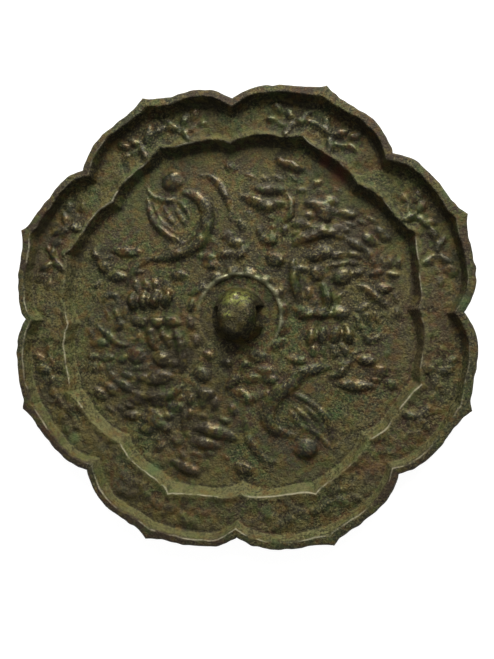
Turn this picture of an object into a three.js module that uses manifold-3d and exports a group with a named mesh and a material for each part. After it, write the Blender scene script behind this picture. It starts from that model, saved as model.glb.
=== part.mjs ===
// An ancient bronze mirror with eight lobes, lying on its reflecting face with the carved back up.
// Millimetres, +Z up, origin at the middle of the reflecting face. Notches point along +X, +Y, -X and -Y.
import * as THREE from "three";
import { mergeVertices } from "three/addons/utils/BufferGeometryUtils.js";
import Module from "manifold-3d";

const wasm = await Module();
wasm.setup();

// Driving sizes of the casting
const TIP_RADIUS = 70;
const NOTCH_DEPTH = 6.7;
const TIP_REACH = 2.6;
const PLATE = 2.4;
const BAND_RISE = 3.3;
const RIM_RISE = 3.7;
const LIP_RISE = 0.5;
const EDGE_ROUND = 0.65;

// Widths in plan at a notch, on the round of a lobe and at a tip, from the outline inwards
const RIM_WIDTH = { notch: 2.6, round: 2.2, tip: 3.2 };
const RIM_WALL = { notch: 1.9, round: 1.1, tip: 1.7 };
const BAND_WIDTH = { notch: 5.4, round: 8.7, tip: 7.3 };
const LIP_WIDTH = { notch: 2.2, round: 2.1, tip: 2.1 };
const STEP_WALL = { notch: 3.1, round: 1.9, tip: 3.0 };

// The step down to the field and the field's carving each sit a little turned in the outline, in degrees
const STEP_TURN = 1.2;
const CARVING_TURN = -0.8;

// Driving sizes of the knob, its cord hole and the ring round it
const KNOB_RADIUS = 7.9;
const KNOB_HEIGHT = 9.0;
const HOLE_WIDTH = 6.0;
const HOLE_HEIGHT = 5.6;
const HOLE_CORNER = 1.5;
const HOLE_SILL = 0.5;
const RING_GAP = 3.4;
const RING_WIDTH = 2.2;
const RING_HEIGHT = 0.9;

// Carved strokes: height in millimetres, length and width as shares of the carving's own radius
const BODY = { width: 0.090, height: 1.5 };
const ARM = { width: 0.048, height: 1.5 };
const STEM = { width: 0.036, height: 1.0 };
const PLUME = { width: 0.030, height: 0.7 };
const WING = { width: 0.190, height: 0.6 };
const BROAD_LEAF = { length: 0.128, width: 0.076, height: 1.6 };
const LONG_LEAF = { length: 0.150, width: 0.054, height: 1.5 };
const PETAL = { length: 0.084, width: 0.064, height: 1.4 };
const LEAF = { length: 0.088, width: 0.050, height: 1.2 };
const SMALL_LEAF = { length: 0.062, width: 0.040, height: 1.0 };
const FINE_LEAF = { length: 0.060, width: 0.028, height: 0.7 };

const LOBES = 8;
const STEPS_PER_HALF_LOBE = 5;
const LOBE_FULLNESS = 4.1;
const TIP_SHARPNESS = 0.14;
const ROOT = 0.5;

const BAND_TOP = PLATE + BAND_RISE;
const RIM_TOP = BAND_TOP + RIM_RISE;

// Contours from the outline inwards, each a radius at a notch, on the round of a lobe and at a tip
function within(contour, width) {
  return {
    notch: contour.notch - width.notch,
    round: contour.round - width.round,
    tip: contour.tip - width.tip,
  };
}

const OUTLINE = { notch: TIP_RADIUS - NOTCH_DEPTH, round: TIP_RADIUS - TIP_REACH, tip: TIP_RADIUS };
const RIM_INSIDE = within(OUTLINE, RIM_WIDTH);
const BAND_OUTSIDE = within(RIM_INSIDE, RIM_WALL);
const BAND_INSIDE = within(BAND_OUTSIDE, BAND_WIDTH);
const LIP_EDGE = within(BAND_INSIDE, LIP_WIDTH);
const FIELD_EDGE = within(LIP_EDGE, STEP_WALL);
const RING_RADIUS = KNOB_RADIUS + RING_GAP + RING_WIDTH / 2;

// The field's carving reaches 0.70 of its own radius, just clear of the field's edge
const CARVING_RADIUS = FIELD_EDGE.notch / 0.69;

function lobedRadius(contour, share) {
  const swell = 1 - (1 - share) ** LOBE_FULLNESS;
  const cusp = Math.exp(-(1 - share) / TIP_SHARPNESS);
  return contour.notch + (contour.round - contour.notch) * swell + (contour.tip - contour.round) * cusp;
}

// One closed loop round the mirror, with more points near notches and tips, where the contour turns
function lobedLoop(contour, z, inset = 0, turn = 0) {
  const loop = [];
  const halfLobe = Math.PI / LOBES;
  const start = THREE.MathUtils.degToRad(turn);
  for (let half = 0; half < 2 * LOBES; half++) {
    for (let step = 0; step < STEPS_PER_HALF_LOBE; step++) {
      const run = (1 - Math.cos((Math.PI * step) / STEPS_PER_HALF_LOBE)) / 2;
      const share = half % 2 === 0 ? run : 1 - run;
      const angle = start + (half + run) * halfLobe;
      const radius = lobedRadius(contour, share) - inset;
      loop.push(new THREE.Vector3(radius * Math.cos(angle), radius * Math.sin(angle), z));
    }
  }
  return loop;
}

// A closed skin over loops of equal length, ended by a single point before the first and after the last
function skin(firstPoint, loops, lastPoint) {
  const count = loops[0].length;
  const points = [firstPoint, ...loops.flat(), lastPoint];
  const last = points.length - 1;
  const index = [];
  for (let k = 0; k < count; k++) {
    const next = (k + 1) % count;
    index.push(0, 1 + next, 1 + k);
    for (let row = 0; row + 1 < loops.length; row++) {
      const low = 1 + row * count;
      const high = low + count;
      index.push(low + k, low + next, high + next);
      index.push(low + k, high + next, high + k);
    }
    const top = 1 + (loops.length - 1) * count;
    index.push(last, top + k, top + next);
  }
  const geometry = new THREE.BufferGeometry().setFromPoints(points);
  geometry.setIndex(index);
  return geometry;
}

function toSolid(geometry) {
  const bare = geometry.clone();
  bare.deleteAttribute("normal");
  bare.deleteAttribute("uv");
  const merged = mergeVertices(bare, 1e-4);
  const vertProperties = new Float32Array(merged.attributes.position.array);
  const triVerts = new Uint32Array(merged.index.array);
  return new wasm.Manifold(new wasm.Mesh({ numProp: 3, vertProperties, triVerts }));
}

function toGeometry(solid) {
  const mesh = solid.getMesh();
  const geometry = new THREE.BufferGeometry();
  geometry.setAttribute("position", new THREE.BufferAttribute(new Float32Array(mesh.vertProperties), 3));
  geometry.setIndex(new THREE.BufferAttribute(new Uint32Array(mesh.triVerts), 1));
  geometry.computeVertexNormals();
  return geometry;
}

// Plate, stepped band and raised rim
function castPlate() {
  const loops = [
    lobedLoop(OUTLINE, 0, EDGE_ROUND),
    lobedLoop(OUTLINE, EDGE_ROUND),
    lobedLoop(OUTLINE, RIM_TOP - EDGE_ROUND, EDGE_ROUND / 2),
    lobedLoop(OUTLINE, RIM_TOP - EDGE_ROUND / 4, 2 * EDGE_ROUND),
    lobedLoop(RIM_INSIDE, RIM_TOP),
    lobedLoop(BAND_OUTSIDE, BAND_TOP),
    lobedLoop(BAND_INSIDE, BAND_TOP, 0, STEP_TURN),
    lobedLoop(LIP_EDGE, BAND_TOP + LIP_RISE, 0, STEP_TURN),
    lobedLoop(FIELD_EDGE, PLATE, 0, STEP_TURN),
  ];
  return skin(new THREE.Vector3(0, 0, 0), loops, new THREE.Vector3(0, 0, PLATE));
}

function turned(points) {
  const geometry = new THREE.LatheGeometry(points, 32);
  geometry.rotateX(Math.PI / 2);
  return geometry;
}

// Domed knob, round which the carved field turns
function knob() {
  const rows = 6;
  const profile = [new THREE.Vector2(0, -ROOT), new THREE.Vector2(KNOB_RADIUS, -ROOT)];
  for (let row = 0; row <= rows; row++) {
    const angle = (row / rows) * (Math.PI / 2);
    const radius = KNOB_RADIUS * Math.cos(angle) ** 0.8;
    profile.push(new THREE.Vector2(radius, KNOB_HEIGHT * Math.sin(angle) ** 0.9));
  }
  profile[profile.length - 1].x = 0;
  return turned(profile).translate(0, 0, PLATE);
}

// Low raised ring round the knob
function knobRing() {
  const half = RING_WIDTH / 2;
  const profile = [
    new THREE.Vector2(RING_RADIUS - half, -ROOT),
    new THREE.Vector2(RING_RADIUS + half, -ROOT),
    new THREE.Vector2(RING_RADIUS + half, 0),
    new THREE.Vector2(RING_RADIUS + half / 3, RING_HEIGHT),
    new THREE.Vector2(RING_RADIUS - half / 3, RING_HEIGHT),
    new THREE.Vector2(RING_RADIUS - half, 0),
    new THREE.Vector2(RING_RADIUS - half, -ROOT),
  ];
  return turned(profile).translate(0, 0, PLATE);
}

// Arched hole for a cord, straight through the knob along X
function cordHole() {
  const half = HOLE_WIDTH / 2;
  const length = 2.2 * KNOB_RADIUS;
  const arch = new THREE.Shape();
  arch.moveTo(-half, 0);
  arch.lineTo(half, 0);
  arch.absarc(half - HOLE_CORNER, HOLE_HEIGHT - HOLE_CORNER, HOLE_CORNER, 0, Math.PI / 2);
  arch.absarc(HOLE_CORNER - half, HOLE_HEIGHT - HOLE_CORNER, HOLE_CORNER, Math.PI / 2, Math.PI);
  arch.closePath();
  const geometry = new THREE.ExtrudeGeometry(arch, { depth: length, bevelEnabled: false, curveSegments: 4 });
  geometry.translate(0, 0, -length / 2);
  geometry.rotateX(Math.PI / 2);
  geometry.rotateZ(Math.PI / 2);
  return geometry.translate(0, 0, PLATE + HOLE_SILL);
}

// Carving. Places are shares of the carving's radius, with x to the right and y up as the back is looked at,
// and a heading is in degrees from x. A stroke is a ridge along a smooth path that fades out at both ends.
function stroke(places, size) {
  return { ...size, places: places.map(([x, y]) => new THREE.Vector2(x, y)) };
}

function leaf(x, y, heading, size) {
  const angle = THREE.MathUtils.degToRad(heading);
  const reach = new THREE.Vector2(Math.cos(angle), Math.sin(angle)).multiplyScalar(size.length / 2);
  const middle = new THREE.Vector2(x, y);
  return { ...size, places: [middle.clone().sub(reach), middle.clone().add(reach)] };
}

function turnedCopy(strokes, degrees) {
  const angle = THREE.MathUtils.degToRad(degrees);
  const middle = new THREE.Vector2(0, 0);
  return strokes.map((one) => {
    const places = one.places.map((at) => at.clone().rotateAround(middle, angle));
    return { ...one, places };
  });
}

// Leaves set side by side from one place to another, turning from the first heading to the last
function leafRow(count, from, to, headings, size) {
  const row = [];
  for (let k = 0; k < count; k++) {
    const share = k / (count - 1);
    const x = THREE.MathUtils.lerp(from[0], to[0], share);
    const y = THREE.MathUtils.lerp(from[1], to[1], share);
    row.push(leaf(x, y, THREE.MathUtils.lerp(headings[0], headings[1], share), size));
  }
  return row;
}

// A bird turned in on itself: head and ruff above a folded wing, and a body that curls into a long tail
function phoenix() {
  const ruff = [[-0.400, 0.598], [-0.390, 0.546], [-0.345, 0.517], [-0.295, 0.507], [-0.255, 0.530]];
  const back = [[-0.152, 0.520], [-0.132, 0.450], [-0.140, 0.382], [-0.178, 0.322]];
  const rump = [[-0.240, 0.290], [-0.320, 0.281], [-0.395, 0.262]];
  return [
    stroke([[-0.330, 0.490], [-0.265, 0.425], [-0.205, 0.360]], WING),
    stroke([[-0.395, 0.535], [-0.368, 0.455], [-0.312, 0.385], [-0.230, 0.322]], STEM),
    leaf(-0.275, 0.608, -5, BROAD_LEAF),
    stroke(ruff, ARM),
    stroke([[-0.268, 0.525], [-0.240, 0.484], [-0.190, 0.452]], ARM),
    stroke([[-0.252, 0.574], [-0.200, 0.558], [-0.160, 0.530], [-0.126, 0.470]], ARM),
    stroke([...back, ...rump], BODY),
    stroke([[-0.365, 0.270], [-0.420, 0.238], [-0.464, 0.195], [-0.494, 0.135]], STEM),
    stroke([[-0.170, 0.615], [-0.110, 0.590], [-0.065, 0.545], [-0.040, 0.485], [-0.034, 0.410]], PLUME),
    leaf(-0.470, 0.290, -3, LEAF),
    leaf(-0.590, 0.220, -20, SMALL_LEAF),
  ];
}

// Long leaves and buds over the bird's back
function upperSpray() {
  return [
    leaf(0.138, 0.543, -8, LONG_LEAF),
    stroke([[0.000, 0.518], [0.060, 0.500], [0.115, 0.482], [0.200, 0.478]], LONG_LEAF),
    leaf(-0.028, 0.638, -18, LEAF),
    stroke([[0.195, 0.530], [0.218, 0.500], [0.230, 0.455], [0.222, 0.405]], PLUME),
    stroke([[0.275, 0.482], [0.325, 0.472], [0.372, 0.448], [0.420, 0.425]], LONG_LEAF),
    leaf(0.362, 0.424, -25, PETAL),
    leaf(0.390, 0.482, -10, LEAF),
    leaf(0.300, 0.424, 0, SMALL_LEAF),
    leaf(0.460, 0.428, -4, LEAF),
    leaf(0.335, 0.556, 22, SMALL_LEAF),
    ...leafRow(3, [0.150, 0.600], [0.290, 0.610], [-15, -40], FINE_LEAF),
    ...leafRow(3, [0.470, 0.385], [0.560, 0.400], [-15, -35], FINE_LEAF),
  ];
}

// Small leaves and a bell flower between the ring and the sprays
function leavesByRing() {
  return [
    leaf(0.016, 0.392, -45, SMALL_LEAF),
    ...leafRow(2, [-0.050, 0.350], [-0.010, 0.322], [8, -6], LEAF),
    leaf(-0.110, 0.328, 35, SMALL_LEAF),
    ...leafRow(3, [-0.135, 0.258], [0.018, 0.276], [-8, 42], LEAF),
    ...leafRow(3, [0.094, 0.368], [0.200, 0.360], [92, 70], SMALL_LEAF),
    leaf(0.135, 0.328, 0, PETAL),
    leaf(0.155, 0.243, -15, PETAL),
    leaf(0.215, 0.415, 42, SMALL_LEAF),
    leaf(0.252, -0.180, -14, LEAF),
    leaf(0.120, -0.225, -5, LEAF),
  ];
}

// A full flower seen from the side: curved sepals, a crown of petals and rows of petals hanging below
function blossom() {
  return [
    leaf(0.268, 0.388, -4, LEAF),
    ...leafRow(2, [0.345, 0.368], [0.430, 0.362], [-6, -4], LEAF),
    stroke([[0.232, 0.290], [0.262, 0.325], [0.330, 0.342], [0.400, 0.345], [0.465, 0.325]], ARM),
    stroke([[0.228, 0.250], [0.222, 0.190], [0.232, 0.120], [0.258, 0.050]], STEM),
    leaf(0.345, 0.262, 14, BROAD_LEAF),
    ...leafRow(2, [0.332, 0.188], [0.438, 0.164], [-10, 12], PETAL),
    leaf(0.268, 0.200, -5, SMALL_LEAF),
    ...leafRow(3, [0.395, 0.212], [0.480, 0.222], [30, -10], FINE_LEAF),
    ...leafRow(2, [0.420, 0.258], [0.485, 0.250], [10, -20], SMALL_LEAF),
    stroke([[0.345, 0.140], [0.368, 0.118], [0.378, 0.070], [0.376, 0.015]], ARM),
    leaf(0.300, 0.105, -80, SMALL_LEAF),
    ...leafRow(3, [0.285, 0.014], [0.428, 0.014], [-10, -10], PETAL),
    ...leafRow(4, [0.316, -0.078], [0.456, -0.070], [75, 90], LEAF),
  ];
}

// Loose leaves and a stem on the outer side of the flower
function tendrils() {
  return [
    stroke([[0.480, 0.128], [0.530, 0.112], [0.575, 0.075], [0.630, 0.025]], STEM),
    leaf(0.452, 0.066, 45, SMALL_LEAF),
    leaf(0.605, 0.112, 0, LEAF),
    leaf(0.520, 0.036, 48, SMALL_LEAF),
    ...leafRow(3, [0.495, -0.025], [0.575, -0.010], [85, 110], FINE_LEAF),
    stroke([[0.525, -0.060], [0.535, -0.095], [0.570, -0.100], [0.600, -0.060]], PLUME),
    ...leafRow(4, [0.565, 0.225], [0.665, 0.215], [104, 80], FINE_LEAF),
    ...leafRow(3, [0.495, 0.300], [0.605, 0.335], [-30, -40], LEAF),
    ...leafRow(3, [0.500, 0.180], [0.640, 0.170], [25, 0], SMALL_LEAF),
    leaf(0.530, -0.180, -10, LEAF),
    ...leafRow(2, [0.590, -0.235], [0.630, -0.280], [-10, -40], SMALL_LEAF),
  ];
}

function petalsRoundRing() {
  const count = 16;
  const firstAngle = 8;
  const reach = (RING_RADIUS + RING_WIDTH / 2 + 0.8) / CARVING_RADIUS;
  const petals = [];
  for (let k = 0; k < count; k++) {
    petals.push(...turnedCopy([leaf(reach, 0, 90, SMALL_LEAF)], firstAngle + (360 / count) * k));
  }
  return petals;
}

// One spray for each lobe of the band, alike on both sides of its middle
function bandSpray() {
  const middle = (BAND_OUTSIDE.round + BAND_INSIDE.round) / 2 / CARVING_RADIUS;
  const spray = [leaf(middle, 0, 0, SMALL_LEAF)];
  for (const side of [-1, 1]) {
    for (let k = 0; k < 3; k++) {
      const across = side * (0.035 + 0.045 * k);
      spray.push(leaf(middle - 0.010 - 0.010 * k, across, 90 + side * (35 - 18 * k), FINE_LEAF));
    }
  }
  return spray;
}

// The middle line of a stroke, and how many sections carry it
function alongStroke(one) {
  if (one.places.length === 2) {
    return { curve: new THREE.LineCurve(one.places[0], one.places[1]), stations: 2 };
  }
  return { curve: new THREE.SplineCurve(one.places), stations: one.places.length + 1 };
}

// A stroke as a solid ridge, rooted in the surface that it stands on
function ridge(one, surface) {
  const { curve, stations } = alongStroke(one);
  const crest = 0.35;
  const place = (at, across, z) =>
    new THREE.Vector3(at.x * CARVING_RADIUS + across.x, at.y * CARVING_RADIUS + across.y, surface + z);
  const loops = [];
  for (let k = 1; k <= stations; k++) {
    const share = (k - 0.5) / stations;
    const fullness = Math.sin(Math.PI * share) ** 0.6;
    const at = curve.getPoint(share);
    const ahead = curve.getTangent(share);
    const halfWidth = (fullness * one.width * CARVING_RADIUS) / 2 + ROOT / 2;
    const left = new THREE.Vector2(-ahead.y, ahead.x).multiplyScalar(halfWidth);
    const right = left.clone().negate();
    const top = fullness * one.height;
    loops.push([
      place(at, left, -ROOT),
      place(at, left.clone().multiplyScalar(crest), top),
      place(at, right.clone().multiplyScalar(crest), top),
      place(at, right, -ROOT),
    ]);
  }
  const middle = new THREE.Vector2(0, 0);
  return skin(place(curve.getPoint(0), middle, -ROOT), loops, place(curve.getPoint(1), middle, -ROOT));
}

function fieldCarving() {
  const half = [...phoenix(), ...upperSpray(), ...leavesByRing(), ...blossom(), ...tendrils()];
  const whole = [...half, ...turnedCopy(half, 180)];
  return [...turnedCopy(whole, CARVING_TURN), ...petalsRoundRing()];
}

function bandCarving() {
  const spray = bandSpray();
  const all = [];
  for (let lobe = 0; lobe < LOBES; lobe++) {
    all.push(...turnedCopy(spray, ((lobe + 0.5) * 360) / LOBES));
  }
  return all;
}

function carvedMirror() {
  const field = fieldCarving().map((one) => toSolid(ridge(one, PLATE)));
  const band = bandCarving().map((one) => toSolid(ridge(one, BAND_TOP)));
  const round = [castPlate(), knob(), knobRing()].map(toSolid);
  const cast = wasm.Manifold.union([...round, ...field, ...band]);
  return toGeometry(cast.subtract(toSolid(cordHole())));
}

const bronze = new THREE.MeshStandardMaterial({ color: 0x4a4a3a, roughness: 0.62, metalness: 0.55 });
const mirror = new THREE.Mesh(carvedMirror(), bronze);
mirror.name = "bronze_mirror";

const part = new THREE.Group();
part.add(mirror);

export default part;
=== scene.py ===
"""Looks of an ancient bronze mirror with eight lobes, lying on its reflecting face with the carved back up.

The casting is one closed mesh: a web of rings warped to the lobed contours and raised by the carving, with
a rim, sides and underside, and a cord hole cut through the knob. Sizes are in millimetres until the mesh is
made.
"""
import math

import bpy
import numpy as np
from mathutils import Matrix, Vector

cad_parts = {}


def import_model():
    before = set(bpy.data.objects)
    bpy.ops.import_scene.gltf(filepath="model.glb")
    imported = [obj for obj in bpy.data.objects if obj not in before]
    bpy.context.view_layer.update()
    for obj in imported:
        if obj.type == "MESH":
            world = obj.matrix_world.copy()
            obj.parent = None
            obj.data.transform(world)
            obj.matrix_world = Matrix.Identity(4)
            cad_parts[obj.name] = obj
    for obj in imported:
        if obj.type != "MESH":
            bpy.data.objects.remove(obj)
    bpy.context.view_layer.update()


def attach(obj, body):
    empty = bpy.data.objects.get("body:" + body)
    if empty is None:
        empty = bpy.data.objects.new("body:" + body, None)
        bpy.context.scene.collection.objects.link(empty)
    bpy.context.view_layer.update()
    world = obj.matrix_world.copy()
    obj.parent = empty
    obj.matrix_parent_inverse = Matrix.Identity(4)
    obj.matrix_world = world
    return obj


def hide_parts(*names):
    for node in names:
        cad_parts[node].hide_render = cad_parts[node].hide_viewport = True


# A millimetre in metres, the seed of all random draws, and how light the patina's colours are
MM = 0.001
SEED = 11
PATINA_DEPTH = 0.30

# Driving sizes of the casting
TIP_RADIUS = 70
NOTCH_DEPTH = 6.7
TIP_REACH = 2.6
PLATE = 2.4
BAND_RISE = 3.3
RIM_RISE = 3.7
LIP_RISE = 0.5
EDGE_ROUND = 0.65
CRISP_EDGE = 0.3
LOBES = 8
LOBE_FULLNESS = 4.1
TIP_SHARPNESS = 0.14

# Widths in plan at a notch, on the round of a lobe and at a tip, from the outline inwards
RIM_WIDTH = np.array([2.6, 2.2, 3.2])
RIM_WALL = np.array([1.9, 1.1, 1.7])
BAND_WIDTH = np.array([5.4, 8.7, 7.3])
LIP_WIDTH = np.array([2.2, 2.1, 2.1])
STEP_WALL = np.array([3.1, 1.9, 3.0])

# Knob, its cord hole and the ring round it. The two powers give the dome its full round shape
KNOB_RADIUS = 7.9
KNOB_HEIGHT = 9.0
KNOB_POWERS = (2.7, 0.65)
HOLE_WIDTH = 6.0
HOLE_HEIGHT = 5.6
HOLE_CORNER = 1.5
HOLE_SILL = 0.5
RING_GAP = 3.4
RING_WIDTH = 2.2
RING_HEIGHT = 0.9
RING_SLOPE_IN = 0.8
RING_SLOPE_OUT = 1.4
MOAT_SLOPE = 0.9
MOAT_DEPTH = 0.7
KNOB_SHIFT = (0.4, 0.3)
KNOB_LENGTHENED = 1.07

# Directions in degrees from X: where the ring is least worn and its painted highlight brightest, and where
# the walls carry the most painted shade
RING_WHOLE_AND_LIT_TOWARDS = 62
WALLS_SHADED_TOWARDS = 75

# Spots of rust, of green and of pale crust in the patina: x, y and reach
RUST_SPOTS = [(30.5, 40.8, 2.6), (26.6, 44.8, 1.6)]
GREEN_SPOTS = [(-26.0, -45.0, 1.8), (60.5, 33.0, 2.0), (64.0, 2.0, 2.0), (-30.0, 44.0, 1.4),
               (-50.0, -36.0, 1.6)]
CRUST_SPOTS = [(-1.6, 0.4, 1.1)]

# The pale crust over the knob's upper side, partly verdigris and partly painted light on that side: its
# middle, and its reach along X and Y
LIT_CRUST_MIDDLE = (0.3, 5.3)
LIT_CRUST_REACH = (4.0, 1.8)

# Middle of the first bird, as shares of the carving's radius, and the radius of calm ground round both birds
BIRD_MIDDLE = (-0.26, 0.43)
CALM_ROUND_BIRD = 9

# Layers of soft noise, each with its height, its size and its seed: the bends of the carving along X and Y,
# the uneven ground, the lumps of the knob, and the ragged contours along X and Y
BENT_X = [(0.38, 4.2, 5), (0.10, 1.6, 6)]
BENT_Y = [(0.38, 4.2, 7), (0.10, 1.6, 8)]
UNEVEN = [(0.25, 5.0, 1), (0.22, 2.6, 2), (0.15, 1.3, 3)]
KNOB_LUMPS = [(0.8, 4.4, 4), (0.4, 2.2, 17)]
RAGGED_X = [(0.40, 9.0, 13), (0.22, 2.0, 14)]
RAGGED_Y = [(0.40, 9.0, 15), (0.22, 2.0, 16)]

# Corrosion pits: how many, and the least and the most of their radius and depth
PIT_COUNT = 420
PIT_RADII = (0.35, 1.0)
PIT_DEPTHS = (0.08, 0.28)

# How much longer and wider the worn casting is than its drawn contours
OUT_OF_ROUND = (1.011, 1.004)

# The step and the carving each sit a little turned in the outline, in degrees
STEP_TURN = 1.2
CARVING_TURN = -0.8

BAND_TOP = PLATE + BAND_RISE
RIM_TOP = BAND_TOP + RIM_RISE
OUTLINE = TIP_RADIUS - np.array([NOTCH_DEPTH, TIP_REACH, 0])
RIM_INSIDE = OUTLINE - RIM_WIDTH
BAND_OUTSIDE = RIM_INSIDE - RIM_WALL
BAND_INSIDE = BAND_OUTSIDE - BAND_WIDTH
LIP_EDGE = BAND_INSIDE - LIP_WIDTH
FIELD_EDGE = LIP_EDGE - STEP_WALL
RING_RADIUS = KNOB_RADIUS + RING_GAP + RING_WIDTH / 2
HOLE_REACH = 1.1 * KNOB_RADIUS
CARVING_RADIUS = FIELD_EDGE[0] / 0.69

# Camera, from the photograph's perspective: how it leans and rolls over the mirror, in radians, and where
# the mirror's middle lies from its axis, as shares of the distance
CAMERA_DISTANCE = 172.06
CAMERA_LEAN = -0.0216
CAMERA_SIDE = -0.1382
CAMERA_ROLL = 0.0134
CAMERA_SHIFT = (-0.0216, 0.0229)
IMAGE_HEIGHT = 659
FOCAL_PIXELS = 600

# Light: a window past the top of the picture, and the strength of the pale surround
WINDOW_PLACE = (90, 470, 340)
WINDOW_SIZE = 380
WINDOW_POWER = 10.9
SURROUND_STRENGTH = 0.475
FLOOR_HALF = 600.0

# Carved strokes: height in millimetres, length and width as shares of the carving's own radius
BODY = {"width": 0.078, "height": 1.50}
CURVED_LEAF = {"width": 0.062, "height": 1.30}
CURVED_BUD = {"width": 0.060, "height": 1.25}
HEAD = {"length": 0.105, "width": 0.098, "height": 1.55}
ARM = {"width": 0.054, "height": 1.35}
STEM = {"width": 0.040, "height": 0.85}
PLUME = {"width": 0.034, "height": 0.70}
BROAD_PLUME = {"width": 0.044, "height": 0.70}
FEATHER = {"width": 0.032, "height": 0.45}
BARB = {"width": 0.022, "height": 0.45}
GROOVE = {"width": 0.046, "height": -0.62}
FINE_GROOVE = {"width": 0.026, "height": -0.30}
BROAD_LEAF = {"length": 0.128, "width": 0.076, "height": 1.25}
LONG_LEAF = {"length": 0.150, "width": 0.054, "height": 1.15}
PETAL = {"length": 0.088, "width": 0.068, "height": 1.10}
ROUND_PETAL = {"length": 0.080, "width": 0.080, "height": 1.25}
SHORT_PETAL = {"length": 0.082, "width": 0.052, "height": 1.65}
BUD = {"length": 0.072, "width": 0.042, "height": 0.80}
LEAF = {"length": 0.088, "width": 0.052, "height": 0.90}
SMALL_LEAF = {"length": 0.062, "width": 0.042, "height": 0.75}
FINE_LEAF = {"length": 0.060, "width": 0.030, "height": 0.55}

# Patches of other colours in the patina: the noise's scale, where a patch begins and where it is full, its
# strength and its colour. The first list lies under the marks of the shape and the second over them
GROUND_PATCHES = [
    (24.0, 0.47, 0.57, 0.72, (86, 106, 62)),
    (28.5, 0.52, 0.62, 0.50, (112, 80, 62)),
    (15.0, 0.46, 0.60, 0.35, (92, 74, 64)),
    (105.0, 0.52, 0.68, 0.50, (100, 80, 56)),
    (66.0, 0.50, 0.60, 0.45, (76, 82, 74)),
    (92.0, 0.52, 0.62, 0.45, (136, 124, 58)),
    (84.0, 0.54, 0.64, 0.62, (80, 118, 72)),
]
FINE_PATCHES = [
    (300.0, 0.50, 0.62, 0.45, (138, 128, 66)),
    (350.0, 0.52, 0.64, 0.45, (66, 52, 46)),
]

# Specks, rusty and mossy: the scale of their groups, where a group begins and where it is full, the scale of
# the specks in it and their colour
SPECKS = [
    (150.0, 0.44, 0.60, 450.0, (142, 92, 46)),
    (120.0, 0.45, 0.58, 400.0, (96, 126, 58)),
]
SPECK_STRENGTH = 0.28


def stroke(places, size):
    """A ridge along a smooth path through the places."""
    return {"places": smooth_path(places), **size}


def smooth_path(places, steps=6):
    """A Catmull-Rom curve through the places, as points."""
    knots = np.array(places, float)
    knots = np.vstack([2 * knots[0] - knots[1], knots, 2 * knots[-1] - knots[-2]])
    share = np.arange(steps)[:, None] / steps
    runs = []
    for before, start, end, after in zip(knots, knots[1:], knots[2:], knots[3:]):
        square = 2 * before - 5 * start + 4 * end - after
        cube = 3 * (start - end) + after - before
        runs.append(start + 0.5 * ((end - before) * share + square * share ** 2 + cube * share ** 3))
    return np.vstack(runs + [knots[-2:-1]])


def leaf(x, y, heading, size, bend=0.0):
    """A straight or slightly bent ridge, pointed at both ends."""
    angle = math.radians(heading)
    ahead = np.array([math.cos(angle), math.sin(angle)]) * size["length"] / 2
    across = np.array([-ahead[1], ahead[0]]) * bend
    middle = np.array([x, y])
    return {"places": smooth_path([middle - ahead, middle + across, middle + ahead], 3), **size}


def leaf_row(count, start, end, headings, size, bend=0.0):
    """Leaves side by side from start to end, turning from the first heading to the last."""
    row = []
    for k in range(count):
        share = k / (count - 1)
        x = start[0] + (end[0] - start[0]) * share
        y = start[1] + (end[1] - start[1]) * share
        row.append(leaf(x, y, headings[0] + (headings[1] - headings[0]) * share, size, bend))
    return row


def turned_copy(strokes, degrees):
    """The same strokes turned about the mirror's middle."""
    cos, sin = math.cos(math.radians(degrees)), math.sin(math.radians(degrees))
    turn = np.array([[cos, sin], [-sin, cos]])
    return [{**one, "places": one["places"] @ turn} for one in strokes]


def carving_height(x, y, strokes):
    """Height over the ground in millimetres at the points x and y, which are in millimetres too."""
    softness = 3.0
    raised = np.zeros_like(x)
    sunk = np.zeros_like(x)
    for one in strokes:
        path = one["places"] * CARVING_RADIUS
        half = one["width"] * CARVING_RADIUS / 2
        low, high = path.min(0) - half, path.max(0) + half
        near = (x > low[0]) & (x < high[0]) & (y > low[1]) & (y < high[1])
        if not near.any():
            continue
        gap, share = distance_to_path(x[near], y[near], path)
        fullness = np.sin(np.pi * np.clip(share, 0.004, 0.996)) ** 0.45
        round_over = np.clip(1 - (gap / (half * fullness)) ** 2.5, 0, 1)
        shape = abs(one["height"]) * fullness * round_over
        if one["height"] > 0:
            raised[near] += shape ** softness
        else:
            sunk[near] = np.maximum(sunk[near], shape)
    return raised ** (1 / softness) - sunk


def distance_to_path(x, y, path):
    """Distance from each point to the path, and how far along it the nearest place lies, from 0 to 1."""
    runs = np.diff(path, axis=0)
    lengths = np.hypot(runs[:, 0], runs[:, 1])
    before = np.concatenate([[0], np.cumsum(lengths)])
    best = np.full(x.shape, np.inf)
    share = np.zeros_like(x)
    for start, run, length, done in zip(path, runs, lengths, before):
        along = np.clip(((x - start[0]) * run[0] + (y - start[1]) * run[1]) / length ** 2, 0, 1)
        gap = np.hypot(x - start[0] - along * run[0], y - start[1] - along * run[1])
        closer = gap < best
        best[closer] = gap[closer]
        share[closer] = (done + along[closer] * length) / before[-1]
    return best, share


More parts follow.
